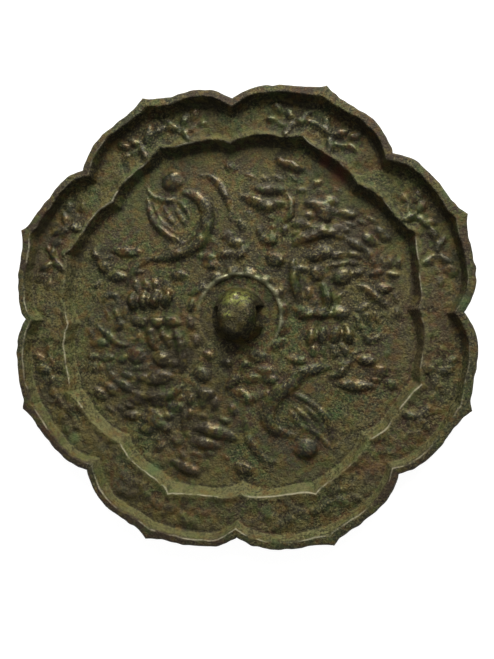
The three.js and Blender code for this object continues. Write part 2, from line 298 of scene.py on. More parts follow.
def phoenix(stoop=0.0, lean=0.0):
    """A bird turned in on itself, with a folded wing and a long tail.

    stoop lowers its head, and lean its rump.
    """
    feathers = []
    for k in range(4):
        root = (-0.374 + 0.042 * k, 0.508 - 0.010 * k)
        bend = (-0.340 + 0.042 * k, 0.430 + 0.008 * k)
        end = (-0.250 + 0.020 * k, 0.348 + 0.016 * k)
        feathers.append(stroke([root, bend, end], FEATHER))
    wing_edge = [(-0.402, 0.545), (-0.386, 0.460), (-0.340, 0.388), (-0.275, 0.338), (-0.205, 0.316)]
    ruff = [(-0.400, 0.598 - stoop), (-0.390, 0.546), (-0.345, 0.517 - stoop / 2), (-0.295, 0.507 - stoop),
            (-0.255, 0.530 - stoop)]
    nape = [(-0.252, 0.546 - stoop), (-0.198, 0.532 - stoop), (-0.154, 0.494 - stoop / 2), (-0.130, 0.438)]
    rump = [(-0.140, 0.374), (-0.178, 0.318), (-0.240, 0.284 - lean / 2), (-0.315, 0.266 - lean),
            (-0.390, 0.254 - lean)]
    tail = [(-0.365, 0.262), (-0.420, 0.236), (-0.464, 0.195), (-0.494, 0.135)]
    plume = [(-0.180, 0.618), (-0.110, 0.597), (-0.062, 0.545), (-0.036, 0.475), (-0.040, 0.400)]
    outside_back = [(-0.160, 0.560), (-0.098, 0.520), (-0.074, 0.445), (-0.084, 0.365), (-0.122, 0.300)]
    inside_back = [(-0.215, 0.485), (-0.188, 0.440), (-0.186, 0.390), (-0.215, 0.345)]
    return feathers + [
        stroke(wing_edge, STEM),
        leaf(-0.283, 0.592 - stoop, 0, HEAD),
        stroke(ruff, PLUME),
        stroke([(-0.272, 0.510 - stoop), (-0.232, 0.470 - stoop), (-0.200, 0.450 - stoop)], FEATHER),
        stroke(nape + rump, BODY),
        stroke(outside_back, GROOVE),
        stroke(inside_back, GROOVE),
        stroke(tail, STEM),
        stroke(plume, BROAD_PLUME),
        stroke([(-0.150, 0.585), (-0.095, 0.545), (-0.068, 0.480), (-0.066, 0.400)], FINE_GROOVE),
        leaf(-0.490, 0.288, -3, LONG_LEAF),
        leaf(-0.590, 0.220, -20, SMALL_LEAF),
        leaf(-0.570, 0.262, 10, FINE_LEAF),
        leaf(-0.530, 0.185, -30, SMALL_LEAF),
    ]


def upper_spray():
    """Long leaves and buds over the bird's back."""
    return [
        leaf(0.138, 0.543, -8, LONG_LEAF, -0.08),
        stroke([(0.000, 0.518), (0.060, 0.500), (0.115, 0.482), (0.200, 0.478)], CURVED_LEAF),
        leaf(0.135, 0.466, 10, SMALL_LEAF),
        leaf(-0.028, 0.638, -18, LEAF),
        leaf(0.055, 0.600, -25, FINE_LEAF),
        stroke([(0.195, 0.530), (0.218, 0.500), (0.230, 0.455), (0.222, 0.405)], PLUME),
        stroke([(0.275, 0.482), (0.325, 0.472), (0.372, 0.448), (0.420, 0.425)], CURVED_BUD),
        leaf(0.362, 0.424, -25, PETAL),
        leaf(0.390, 0.482, -10, LEAF),
        leaf(0.300, 0.424, 0, SMALL_LEAF),
        leaf(0.460, 0.428, -4, LEAF),
        leaf(0.335, 0.556, 22, SMALL_LEAF),
        leaf(0.222, 0.645, -24, LONG_LEAF),
        *leaf_row(3, (0.115, 0.585), (0.235, 0.590), (-15, -40), FINE_LEAF),
        *leaf_row(3, (0.270, 0.530), (0.420, 0.525), (-20, -30), FINE_LEAF),
        *leaf_row(2, (0.050, 0.440), (0.145, 0.425), (-20, -10), FINE_LEAF),
        *leaf_row(3, (0.470, 0.385), (0.560, 0.400), (-15, -35), FINE_LEAF),
    ]


def leaves_by_knob():
    """Small leaves and a bell flower between the knob's ring and the sprays."""
    return [
        leaf(0.016, 0.392, -45, SMALL_LEAF),
        *leaf_row(2, (-0.050, 0.350), (-0.010, 0.322), (8, -6), LEAF),
        leaf(-0.110, 0.328, 35, SMALL_LEAF),
        *leaf_row(3, (-0.135, 0.258), (0.018, 0.276), (-8, 42), LEAF),
        *leaf_row(3, (0.094, 0.368), (0.200, 0.360), (92, 70), SMALL_LEAF),
        stroke([(0.075, 0.370), (0.070, 0.320), (0.078, 0.270)], FINE_GROOVE),
        stroke([(0.185, 0.400), (0.182, 0.350), (0.192, 0.300)], FINE_GROOVE),
        leaf(0.135, 0.328, 0, PETAL),
        stroke([(0.105, 0.300), (0.140, 0.292), (0.175, 0.298)], GROOVE),
        leaf(0.155, 0.243, -15, PETAL),
        leaf(0.215, 0.415, 42, SMALL_LEAF),
        leaf(0.252, -0.180, -14, LEAF),
        leaf(0.185, -0.110, 25, SMALL_LEAF),
        leaf(0.120, -0.225, -5, LEAF),
        leaf(0.070, -0.160, 30, SMALL_LEAF),
    ]


def blossom():
    """A full flower from the side: sepals, a crown of petals and rows of petals that hang below."""
    return [
        leaf(0.268, 0.388, -4, LEAF),
        *leaf_row(2, (0.345, 0.368), (0.430, 0.362), (-6, -4), LEAF),
        leaf(0.252, 0.352, 30, FINE_LEAF),
        stroke([(0.232, 0.290), (0.262, 0.325), (0.330, 0.342), (0.400, 0.345), (0.465, 0.325)], ARM),
        stroke([(0.320, 0.310), (0.380, 0.318), (0.450, 0.300)], GROOVE),
        stroke([(0.252, 0.300), (0.240, 0.250)], GROOVE),
        stroke([(0.240, 0.250), (0.234, 0.190), (0.246, 0.120), (0.268, 0.050)], ARM),
        leaf(0.345, 0.264, 8, BROAD_LEAF),
        leaf(0.332, 0.182, -10, ROUND_PETAL),
        leaf(0.438, 0.166, 12, ROUND_PETAL),
        stroke([(0.298, 0.150), (0.330, 0.140), (0.355, 0.150)], FINE_GROOVE),
        stroke([(0.405, 0.128), (0.436, 0.118), (0.468, 0.132)], FINE_GROOVE),
        leaf(0.268, 0.200, -5, SMALL_LEAF),
        *leaf_row(3, (0.395, 0.212), (0.480, 0.222), (30, -10), FINE_LEAF),
        *leaf_row(2, (0.420, 0.258), (0.485, 0.250), (10, -20), SMALL_LEAF),
        stroke([(0.345, 0.140), (0.368, 0.118), (0.378, 0.070), (0.376, 0.015)], ARM),
        leaf(0.300, 0.105, -80, SMALL_LEAF),
        leaf(0.325, 0.070, -85, FINE_LEAF),
        *leaf_row(3, (0.285, 0.014), (0.428, 0.014), (-10, -10), PETAL),
        stroke([(0.248, -0.018), (0.330, -0.024), (0.400, -0.022), (0.465, -0.012)], GROOVE),
        *leaf_row(4, (0.310, -0.084), (0.458, -0.074), (72, 96), SHORT_PETAL),
        *leaf_row(4, (0.318, -0.142), (0.446, -0.136), (80, 100), SMALL_LEAF),
    ]


def tendrils():
    """A curl and loose leaves on the outer side of the flower."""
    curl = []
    for k in range(8):
        angle, radius = 0.4 + 0.8 * k, 0.036 - 0.003 * k
        curl.append((0.452 + radius * math.cos(angle), 0.066 + radius * math.sin(angle)))
    return [
        stroke(curl, BARB),
        stroke([(0.480, 0.128), (0.530, 0.112), (0.575, 0.075), (0.630, 0.025)], STEM),
        leaf(0.605, 0.112, 0, LEAF),
        leaf(0.520, 0.036, 48, SMALL_LEAF),
        *leaf_row(3, (0.495, -0.025), (0.575, -0.010), (85, 110), FINE_LEAF),
        stroke([(0.525, -0.060), (0.535, -0.095), (0.570, -0.100), (0.600, -0.060)], PLUME),
        *leaf_row(4, (0.565, 0.225), (0.665, 0.215), (104, 80), FINE_LEAF),
        leaf(0.545, 0.262, -60, SMALL_LEAF),
        *leaf_row(3, (0.495, 0.300), (0.605, 0.335), (-30, -40), LEAF),
        *leaf_row(3, (0.500, 0.180), (0.640, 0.170), (25, 0), SMALL_LEAF),
        *leaf_row(2, (0.650, 0.075), (0.655, 0.010), (-60, -90), FINE_LEAF),
        leaf(0.530, -0.180, -10, LEAF),
        *leaf_row(3, (0.440, -0.195), (0.620, -0.150), (10, 60), FINE_LEAF),
        *leaf_row(2, (0.590, -0.235), (0.630, -0.280), (-10, -40), SMALL_LEAF),
    ]


def petals_round_ring():
    """Small petals set round the knob's ring."""
    reach = (RING_RADIUS + RING_WIDTH / 2 + 0.9) / CARVING_RADIUS
    petals = []
    count = 16
    for k in range(count):
        petals += turned_copy([leaf(reach, 0, 90, SMALL_LEAF, 0.15)], 8 + 360 / count * k)
    return petals


def field_carving():
    """The whole field: two birds face to face, their sprays, and the petals round the knob."""
    sprays = upper_spray() + leaves_by_knob() + blossom() + tendrils()
    other_half = turned_copy(phoenix(0.040, 0.045) + sprays, 180)
    return phoenix() + sprays + other_half + petals_round_ring()


def band_spray(middle):
    """One spray of the band: a bud on its middle and a cluster of round leaves on each side."""
    spray = [leaf(middle + 0.012, 0, 90, BUD)]
    cluster = 0.036
    for side in (-1, 1):
        stem = [(middle + 0.015, side * 0.03), (middle - 0.035, side * 0.10), (middle - 0.02, side * 0.19)]
        spray.append(stroke(stem, BARB))
        for k in range(3):
            turn = math.radians(120 * k + 50 * side)
            across = side * 0.088 + cluster * math.sin(turn)
            outwards = middle - 0.010 + cluster * math.cos(turn)
            spray.append(leaf(outwards, across, math.degrees(turn), BUD))
        spray.append(leaf(middle + 0.016, side * 0.165, 90 - 30 * side, SMALL_LEAF))
        spray.append(leaf(middle - 0.034, side * 0.180, 90 + 20 * side, FINE_LEAF))
        spray.append(leaf(middle + 0.030, side * 0.045, 90 + 50 * side, FINE_LEAF))
    return spray


def band_carving():
    """A spray in every lobe of the band."""
    middle = (0.44 * BAND_OUTSIDE[1] + 0.56 * BAND_INSIDE[1]) / CARVING_RADIUS
    band = []
    for lobe in range(LOBES):
        band += turned_copy(band_spray(middle), (lobe + 0.5) * 360 / LOBES)
    return band


def smooth_step(share):
    """0 below 0, 1 above 1, and smooth between."""
    share = np.clip(share, 0, 1)
    return share * share * (3 - 2 * share)


def lobed_radius(contour, angle):
    """Radius of a lobed contour. angle is in radians from a notch."""
    turn = (angle / (2 * math.pi) * LOBES) % 1
    share = 1 - np.abs(turn - 0.5) * 2
    swell = 1 - (1 - share) ** LOBE_FULLNESS
    cusp = np.exp(-(1 - share) / TIP_SHARPNESS)
    return contour[0] + (contour[1] - contour[0]) * swell + (contour[2] - contour[1]) * cusp


# Zones of rings from the middle outwards: how many rings, the contour at the zone's outer end, the height
# there and how the surface gets there. The field, its wall and the lip come before the band
ZONES = [
    (102, FIELD_EDGE, PLATE, "flat"),
    (9, LIP_EDGE, BAND_TOP + LIP_RISE, "wall"),
    (1, LIP_EDGE + CRISP_EDGE, BAND_TOP + LIP_RISE, "flat"),
    (5, BAND_INSIDE, BAND_TOP, "slope"),
    (17, BAND_OUTSIDE, BAND_TOP, "flat"),
    (7, RIM_INSIDE, RIM_TOP, "wall"),
    (1, RIM_INSIDE + CRISP_EDGE, RIM_TOP, "flat"),
    (5, OUTLINE - EDGE_ROUND, RIM_TOP - 0.4 * EDGE_ROUND, "flat"),
    (3, OUTLINE, RIM_TOP - 1.4 * EDGE_ROUND, "slope"),
]
BAND_ZONE = 4


def climb(share, shape):
    """How far up a stretch its surface is: a wall starts in a hollow curve and ends in a crisp edge."""
    if shape == "slope":
        return smooth_step(share)
    if shape == "wall":
        foot = 0.3
        return (share ** 2 / (2 * foot) if share < foot else share - foot / 2) / (1 - foot / 2)
    return share


def ring_spacing(count):
    """Radii of the field's rings as shares of its own radius, with more rings on the knob's steep side."""
    on_dome, past_side = 8, 24
    knob = KNOB_RADIUS / FIELD_EDGE[1]
    radii = [0, 0.56 * knob, 1.06 * knob, 1]
    return np.interp(np.arange(1, count + 1), [0, on_dome, past_side, count], radii)


def ring_angles(ring):
    """Angles of the vertices of that ring, over a full turn."""
    return 2 * math.pi * np.arange(LOBES * ring) / (LOBES * ring)


def top_surface():
    """Radius, angle and plain stepped height of every vertex in the web, and how many rings the web has."""
    radii, angles, heights = [np.zeros(1)], [np.zeros(1)], [np.full(1, PLATE)]
    round_until, turns_lobed_over = 0.35, 0.6
    ring = 0
    inner, low = np.zeros(3), PLATE
    for number, (count, outer, high, shape) in enumerate(ZONES):
        shares = ring_spacing(count) if number == 0 else np.arange(1, count + 1) / count
        for share in shares:
            ring += 1
            angle = ring_angles(ring)
            start = lobed_radius(inner, angle)
            end = lobed_radius(outer, angle)
            if number == 0:
                plain = outer[1]
                end = plain + (end - plain) * smooth_step((share - round_until) / turns_lobed_over)
            radii.append(start + (end - start) * share)
            turned = 1 if number < BAND_ZONE else 0
            if number == BAND_ZONE:
                turned = max(0, 1 - share)
            angles.append(angle + math.radians(STEP_TURN) * turned)
            heights.append(np.full(len(angle), low + (high - low) * climb(share, shape)))
        inner, low = outer, high
    return np.concatenate(radii), np.concatenate(angles), np.concatenate(heights), ring


def marked_zones():
    """1 on the walls, and how bright their upper edges are painted, as worn metal with a painted highlight:
    on the rim, least at the upper right.
    """
    wall, edge = [np.zeros(1)], [np.zeros(1)]
    ring = 0
    for number, (count, _, _, shape) in enumerate(ZONES):
        for k in range(count):
            ring += 1
            angle = ring_angles(ring)
            bare_and_highlit = np.zeros(len(angle))
            if shape == "wall" and k == count - 1:
                # Painted highlight, with worn metal, on the wall's upper edge: full on the lip, and on the
                # rim least at the upper right
                bare_and_highlit += 0.85 if number < BAND_ZONE else 0.52 - 0.20 * np.cos(angle) - 0.20 * np.sin(angle)
            edge.append(bare_and_highlit)
            wall.append(np.full(len(angle), float(shape == "wall")))
    return np.concatenate(wall), np.concatenate(edge)


def web_triangles(rings):
    """Triangles between the rings. Ring k has LOBES times k vertices, and ring 0 is the middle."""
    def first(k):
        return 0 if k == 0 else 1 + LOBES * k * (k - 1) // 2

    triangles = []
    for k in range(1, rings + 1):
        for sector in range(LOBES):
            along = np.arange(k)
            outer = first(k) + (sector * k + along) % (LOBES * k)
            outer_next = first(k) + (sector * k + along + 1) % (LOBES * k)
            inner_count = max(LOBES * (k - 1), 1)
            inner = first(k - 1) + (sector * (k - 1) + along) % inner_count
            triangles.append(np.stack([outer, outer_next, inner], 1))
            if k > 1:
                inner_next = first(k - 1) + (sector * (k - 1) + along + 1) % inner_count
                triangles.append(np.stack([inner, outer_next, inner_next], 1)[:-1])
    return np.concatenate(triangles)


def soft_noise(x, y, size, seed):
    """Smooth random heights from -1 to 1 with features of that size in millimetres."""
    cells = 256
    lattice = np.random.default_rng(SEED + seed).uniform(-1, 1, (cells, cells))

    def at(i, j):
        return lattice[i % cells, j % cells]

    column, row = x / size + cells / 2, y / size + cells / 2
    left, low = np.floor(column).astype(int), np.floor(row).astype(int)
    across, up = smooth_step(column - left), smooth_step(row - low)
    lower = at(left, low) * (1 - across) + at(left + 1, low) * across
    upper = at(left, low + 1) * (1 - across) + at(left + 1, low + 1) * across
    return lower * (1 - up) + upper * up


def layered_noise(x, y, layers, start=0):
    """The start plus layers of soft noise, each given as its height, its size and its seed."""
    for height, size, seed in layers:
        start = start + height * soft_noise(x, y, size, seed)
    return start


def knob_and_ring(x, y):
    """Heights of the domed knob and of the ring round it, worn at the lower left, and 1 along its crest,
    where a painted highlight lies that is brightest towards the upper right.
    """
    x, y = x - KNOB_SHIFT[0], y - KNOB_SHIFT[1]
    radius, angle = np.hypot(x, y), np.arctan2(y, x)
    from_top = np.clip(np.hypot(x, y / KNOB_LENGTHENED) / KNOB_RADIUS, 0, 1)
    dome = KNOB_HEIGHT * (1 - from_top ** KNOB_POWERS[0]) ** KNOB_POWERS[1]
    least = 0.25
    whole = least + (1 - least) * smooth_step(0.5 + 0.8 * np.cos(angle - math.radians(RING_WHOLE_AND_LIT_TOWARDS)))
    inside, crest, outside = RING_RADIUS - RING_SLOPE_IN, RING_RADIUS, RING_RADIUS + RING_SLOPE_OUT
    moat = [KNOB_RADIUS, KNOB_RADIUS + MOAT_SLOPE, inside, inside + 0.2]
    sunk = np.interp(radius, moat, [0, MOAT_DEPTH, MOAT_DEPTH, 0])
    ring = RING_HEIGHT * np.interp(radius, [inside, crest - 0.1, crest + 0.3, outside], [0, 1, 0.8, -0.2])
    # Painted highlight along the ring's crest, strongest where the ring is most whole
    crest_highlight = 1.3 * (whole - least) * np.clip(1.3 - np.abs(radius - crest - 0.1) / 0.42, 0, 1)
    return dome, (ring - sunk) * whole, crest_highlight


def pits(x, y):
    """Depth of small corrosion pits, scattered by chance."""
    chance = np.random.default_rng(SEED)
    depth = np.zeros_like(x)
    for _ in range(PIT_COUNT):
        reach, turn = TIP_RADIUS * math.sqrt(chance.uniform()), chance.uniform(0, 2 * math.pi)
        size, deep = chance.uniform(*PIT_RADII), chance.uniform(*PIT_DEPTHS)
        gap = np.hypot(x - reach * math.cos(turn), y - reach * math.sin(turn)) / size
        depth = np.maximum(depth, deep * np.clip(1 - gap ** 2, 0, 1))
    return depth


def smoothed(values, triangles, rounds):
    """Values averaged over neighbouring vertices, that many times over."""
    start = triangles.ravel()
    end = np.roll(triangles, -1, axis=1).ravel()
    count = np.bincount(start, minlength=len(values)) + np.bincount(end, minlength=len(values))
    for _ in range(rounds):
        total = np.bincount(start, values[end], len(values)) + np.bincount(end, values[start], len(values))
        values = total / count
    return values


def worn_lumps(x, y, field):
    """Lumps of worn carving where the field is crowded, and none near the birds."""
    bird_x, bird_y = BIRD_MIDDLE[0] * CARVING_RADIUS, BIRD_MIDDLE[1] * CARVING_RADIUS
    from_bird = np.minimum(np.hypot(x - bird_x, y - bird_y), np.hypot(x + bird_x, y + bird_y))
    crowded = field * smooth_step(0.6 + 0.9 * soft_noise(x, y, 13.0, 10))
    crowded = crowded * smooth_step(from_bird / CALM_ROUND_BIRD - 1)
    large = 0.55 * np.clip(soft_noise(x, y, 2.7, 11) - 0.10, 0, 1)
    small = 0.28 * np.clip(soft_noise(x, y, 1.9, 12), 0, 1)
    return crowded * (large + small)


def carved_height(x, y, field):
    """Height of the carving in the field and on the band, bent a little and worn towards the lower edge."""
    across, up = layered_noise(x, y, BENT_X, x), layered_noise(x, y, BENT_Y, y)
    cos, sin = math.cos(math.radians(CARVING_TURN)), math.sin(math.radians(CARVING_TURN))
    across, up = cos * across + sin * up, cos * up - sin * across
    left_over = 1.18 + 0.20 * soft_noise(x, y, 5.5, 9) - 0.15 * smooth_step((20 - y) / 60)
    in_field = field * carving_height(across, up, field_carving())
    left_on_band = 0.55 + 0.55 * smooth_step((y + 45) / 90)
    on_band = left_on_band * carving_height(across, up, band_carving())
    return left_over * (in_field + on_band)


def back_relief(x, y, radius, angle, heights):
    """The finished height of every vertex of the back, and how far it stands out as carving, from 0 to 1."""
    field = smooth_step((lobed_radius(FIELD_EDGE, angle - math.radians(STEP_TURN)) - radius) / 1.5)
    carved = carved_height(x, y, field)
    dome, ring, _ = knob_and_ring(x, y)
    uneven = layered_noise(x, y, UNEVEN)
    rough = smooth_step((RIM_INSIDE[1] - radius) / 6) * 0.75 + 0.25
    by_ring = np.clip(1.5 - np.abs(radius - RING_RADIUS) / 1.5, 0, 1)
    rough = rough * (1 - 0.7 * by_ring)
    ground = heights + carved + worn_lumps(x, y, field) + ring + rough * uneven - pits(x, y)
    knob = PLATE + dome + np.clip(dome, 0, 1) * (layered_noise(x, y, KNOB_LUMPS) + uneven)
    raised = np.clip((carved + 0.6 * ring) / 0.5, 0, 1)
    # On the knob the steep sides count as raised, which gives them the raised parts' dark colour as painted
    # shade, and their polish
    shaded_knob_side = 1 - smooth_step((dome - 7.6) / 0.9)
    return np.maximum(ground, knob), np.where(dome > 0, shaded_knob_side, raised)


def spots(x, y, places):
    """1 at each of the places, given as x, y and reach, and 0 from one and a half times the reach."""
    share = np.zeros_like(x)
    for across, up, reach in places:
        share = np.maximum(share, np.clip(1.5 - np.hypot(x - across, y - up) / reach, 0, 1))
    return share


def darkening_and_lit_walls(x, y, z, angle, web, wall):
    """How dark each vertex is painted: darker where it lies below its neighbours, with painted shade in the
    knob's moat, on the knob's steep sides, at the cord hole's mouths and on the walls turned from the light;
    and how much of a wall lit by painted light, or of its foot, it is.
    """
    dome, ring, _ = knob_and_ring(x, y)
    # Darker where the surface lies below its neighbours
    low_ground = np.clip((smoothed(z, web, 10) - z) / 0.20, -1, 1)
    # Painted shade in the knob's moat, on the knob's steep sides and at the cord hole's mouths
    moat = np.clip(-1.3 * ring, 0, 0.8)
    darkening = np.maximum(low_ground, moat)
    shaded_knob_side = 1 - smooth_step((dome - 6.6) / 1.4)
    darkening = np.where(dome > 0, np.maximum(darkening, shaded_knob_side), darkening)
    from_mouth = np.hypot((np.abs(x) - KNOB_RADIUS) / 1.8, y / HOLE_WIDTH * 2)
    hole_mouths = 0.9 * np.clip(1.8 - from_mouth, 0, 1)
    darkening = np.maximum(darkening, hole_mouths)
    # Painted shade on the walls turned from the light; the other walls and their feet keep a pale painted
    # light
    shaded = wall * smooth_step(0.40 + 0.75 * np.cos(angle - math.radians(WALLS_SHADED_TOWARDS)))
    darkening = np.where(wall > 0, np.minimum(darkening, 0.25) * (1 - shaded) + 0.95 * shaded, darkening)
    foot = np.clip(1.6 * smoothed(wall, web, 30), 0, 0.5) * (1 - wall)
    return darkening, np.maximum(wall * (1 - shaded), foot)


def with_sides_and_base(top, web, count):
    """The top surface with sides, a rounded lower edge and a flat base. Its edge has count vertices."""
    edge = np.arange(len(top) - count, len(top))
    points, faces, loops = [top], [web], [edge]
    total = len(top)
    # Loops down the side: the height of each, and how far it is drawn in, as a share of the edge's rounding
    for height, inset in [(0.5 * RIM_TOP, 0), (1.5 * EDGE_ROUND, 0), (0.4 * EDGE_ROUND, 0.3), (0, 1)]:
        loop = top[edge] * (1 - inset * EDGE_ROUND / TIP_RADIUS)
        loop[:, 2] = height
        points.append(loop)
        loops.append(np.arange(total, total + count))
        total += count
    for upper, lower in zip(loops, loops[1:]):
        faces.append(np.stack([upper, lower, np.roll(lower, -1)], 1))
        faces.append(np.stack([upper, np.roll(lower, -1), np.roll(upper, -1)], 1))
    points.append(np.zeros((1, 3)))
    last = loops[-1]
    faces.append(np.stack([np.full(count, total), np.roll(last, -1), last], 1))
    return np.concatenate(points), np.concatenate(faces)


def casting_mesh():
    """The casting as vertices in millimetres, triangles, and the values that the patina follows."""
    radius, angle, heights, rings = top_surface()
    x, y = radius * np.cos(angle), radius * np.sin(angle)
    web = web_triangles(rings)
    z, raised = back_relief(x, y, radius, angle, heights)
    wall, edge = marked_zones()
    dome, ring, crest_highlight = knob_and_ring(x, y)
    # crest holds the ring's painted highlight, and edge the worn metal and painted highlight on the walls'
    # upper edges
    looks = {"raised": raised, "edge": edge, "crest": crest_highlight}
    # hollow holds the darkening with its painted shade, and wall the pale painted light of the lit walls
    looks["hollow"], looks["wall"] = darkening_and_lit_walls(x, y, z, angle, web, wall)
    looks["crowd"] = np.clip(1.8 * smoothed(raised, web, 40), 0, 1)
    looks["knob"] = np.clip(np.maximum(dome, -1.2 * ring), 0, 1)
    looks["rim"] = np.clip((z - RIM_TOP + 1.2) / 0.8, 0, 1) * (radius > 2 * KNOB_RADIUS)

    ragged = smooth_step((radius - FIELD_EDGE[0]) / 5)
    x = OUT_OF_ROUND[0] * x + ragged * layered_noise(x, y, RAGGED_X)
    y = OUT_OF_ROUND[1] * y + ragged * layered_noise(x, y, RAGGED_Y)
    looks["rust"], looks["green"] = spots(x, y, RUST_SPOTS), spots(x, y, GREEN_SPOTS)
    # Pale crust on the knob's upper side, partly painted light
    from_crust = np.hypot((x - LIT_CRUST_MIDDLE[0]) / LIT_CRUST_REACH[0], (y - LIT_CRUST_MIDDLE[1]) / LIT_CRUST_REACH[1])
    looks["lit_verdigris"] = np.maximum(np.clip(1.6 - from_crust, 0, 1), spots(x, y, CRUST_SPOTS))

    points, faces = with_sides_and_base(np.stack([x, y, z], 1), web, LOBES * rings)
    below = len(points) - len(z)
    for name, values in looks.items():
        looks[name] = np.pad(values, (0, below), constant_values=1 if name == "rim" else 0)
    return points, faces, looks


def mesh_object(name, points, faces):
    """A new object of the scene with those vertices, in millimetres, and faces."""
    mesh = bpy.data.meshes.new(name)
    mesh.from_pydata((points * MM).tolist(), [], faces)
    mesh.update()
    item = bpy.data.objects.new(name, mesh)
    bpy.context.scene.collection.objects.link(item)
    return item


def cord_hole_cutter():
    """An arched bar along X, a little longer than the knob is wide."""
    half, straight = HOLE_WIDTH / 2, HOLE_HEIGHT - HOLE_CORNER
    arch = [(-half, 0), (half, 0)]
    corner_steps = 6
    for middle, start in ((half - HOLE_CORNER, 0), (HOLE_CORNER - half, 90)):
        for k in range(corner_steps + 1):
            turn = math.radians(start + 90 / corner_steps * k)
            arch.append((middle + HOLE_CORNER * math.cos(turn), straight + HOLE_CORNER * math.sin(turn)))
    count = len(arch)
    points = [(side * HOLE_REACH, y, PLATE + HOLE_SILL + z) for side in (-1, 1) for y, z in arch]
    faces = [list(range(count))[::-1], list(range(count, 2 * count))]
    faces += [[k, (k + 1) % count, count + (k + 1) % count, count + k] for k in range(count)]
    return mesh_object("cord_hole", np.array(points), faces)


def cut_cord_hole(casting):
    """Takes the cord hole out of the knob, and leaves one closed mesh."""
    cutter = cord_hole_cutter()
    cut = casting.modifiers.new("cord hole", "BOOLEAN")
    cut.object = cutter
    cut.operation = "DIFFERENCE"
    cut.solver = "EXACT"
    bpy.context.view_layer.objects.active = casting
    bpy.ops.object.modifier_apply(modifier=cut.name)
    bpy.data.objects.remove(cutter)


def fill_hole_with_shade(casting):
    """Marks every point on the cord hole's edges as hollow and as knob, so that its faces get painted shade.
    """
    flat = np.empty(3 * len(casting.data.vertices))
    casting.data.vertices.foreach_get("co", flat)
    x, y, z = flat.reshape(-1, 3).T / MM
    sill, slack = PLATE + HOLE_SILL, 0.05
    inside = (np.abs(y) < HOLE_WIDTH / 2 + slack) & (np.abs(x) < HOLE_REACH)
    inside &= (z > sill - slack) & (z < sill + HOLE_HEIGHT + slack)
    # Painted shade inside the cord hole
    for name in ("hollow", "knob"):
        values = np.empty(len(x))
        attribute = casting.data.attributes[name]
        attribute.data.foreach_get("value", values)
        attribute.data.foreach_set("value", np.where(inside, 1, values))


def make_casting():
    """The mirror's one piece, with the values that its patina follows."""
    points, faces, looks = casting_mesh()
    casting = mesh_object("mirror_casting", points, faces.tolist())
    for name, values in looks.items():
        attribute = casting.data.attributes.new(name, "FLOAT", "POINT")
        attribute.data.foreach_set("value", values)
    cut_cord_hole(casting)
    fill_hole_with_shade(casting)
    casting.data.shade_smooth()
    return casting


class Nodes:
    """Short calls for building a material's nodes."""

    def __init__(self, name):
        self.material = bpy.data.materials.new(name)
        self.material.use_nodes = True
        self.tree = self.material.node_tree
        self.shader = self.tree.nodes["Principled BSDF"]

    def add(self, kind, **inputs):
        """A new node of that kind, with those of its inputs set."""
        node = self.tree.nodes.new(kind)
        for name, value in inputs.items():
            self.set(node.inputs[name], value)
        return node

    def set(self, socket, value):
        """Sets a socket to a constant, or links another node's output to it."""
        if isinstance(value, bpy.types.NodeSocket):
            self.tree.links.new(value, socket)
        else:
            socket.default_value = value

    def attribute(self, name):
        """The value that every vertex carries under that name."""
        node = self.add("ShaderNodeAttribute")
        node.attribute_name = name
        return node.outputs["Fac"]

    def noise(self, place, scale):
        """Cloudy noise with about that many features to a metre."""
        node = self.add("ShaderNodeTexNoise", Vector=place, Scale=scale, Detail=4.0, Roughness=0.6)
        return node.outputs["Fac"]

    def ramp(self, value, low, high):
        """0 below low, 1 above high, smooth between."""
        node = self.add("ShaderNodeMapRange")
        node.interpolation_type = "SMOOTHSTEP"
        self.set(node.inputs["Value"], value)
        self.set(node.inputs["From Min"], low)
        self.set(node.inputs["From Max"], high)
        return node.outputs["Result"]

    def mix(self, share, first, second):
        """The first colour where share is 0, and the second where it is 1."""
        node = self.tree.nodes.new("ShaderNodeMix")
        node.data_type = "RGBA"
        self.set(node.inputs["Factor"], share)
        self.set(node.inputs["A"], first)
        self.set(node.inputs["B"], second)
        return node.outputs["Result"]

    def tint(self, tone, share, strength, shade):
        """The tone with another shade over it, at that strength where share is 1."""
        return self.mix(self.math("MULTIPLY", share, strength), tone, shade)

    def patches(self, tone, place, scale, low, high, strength, shade):
        """The tone with patches of another shade, where a noise of that scale rises past low to high."""
        return self.tint(tone, self.ramp(self.noise(place, scale), low, high), strength, shade)

    def two_shades(self, place, scale, low, high, first, second):
        """The first shade, and the second where a noise of that scale rises past low to high."""
        return self.mix(self.ramp(self.noise(place, scale), low, high), colour(*first), colour(*second))

    def math(self, kind, *values):
        """The result of that kind of sum on the values."""
        node = self.tree.nodes.new("ShaderNodeMath")
        node.operation = kind
        for socket, value in zip(node.inputs, values):
            self.set(socket, value)
        return node.outputs["Value"]


def colour(red, green, blue):
    """A patina colour as a shader takes it, from how it looks on screen in bright light, from 0 to 255."""
    linear = (((value / 255 + 0.055) / 1.055) ** 2.4 for value in (red, green, blue))
    return (*(PATINA_DEPTH * value for value in linear), 1.0)


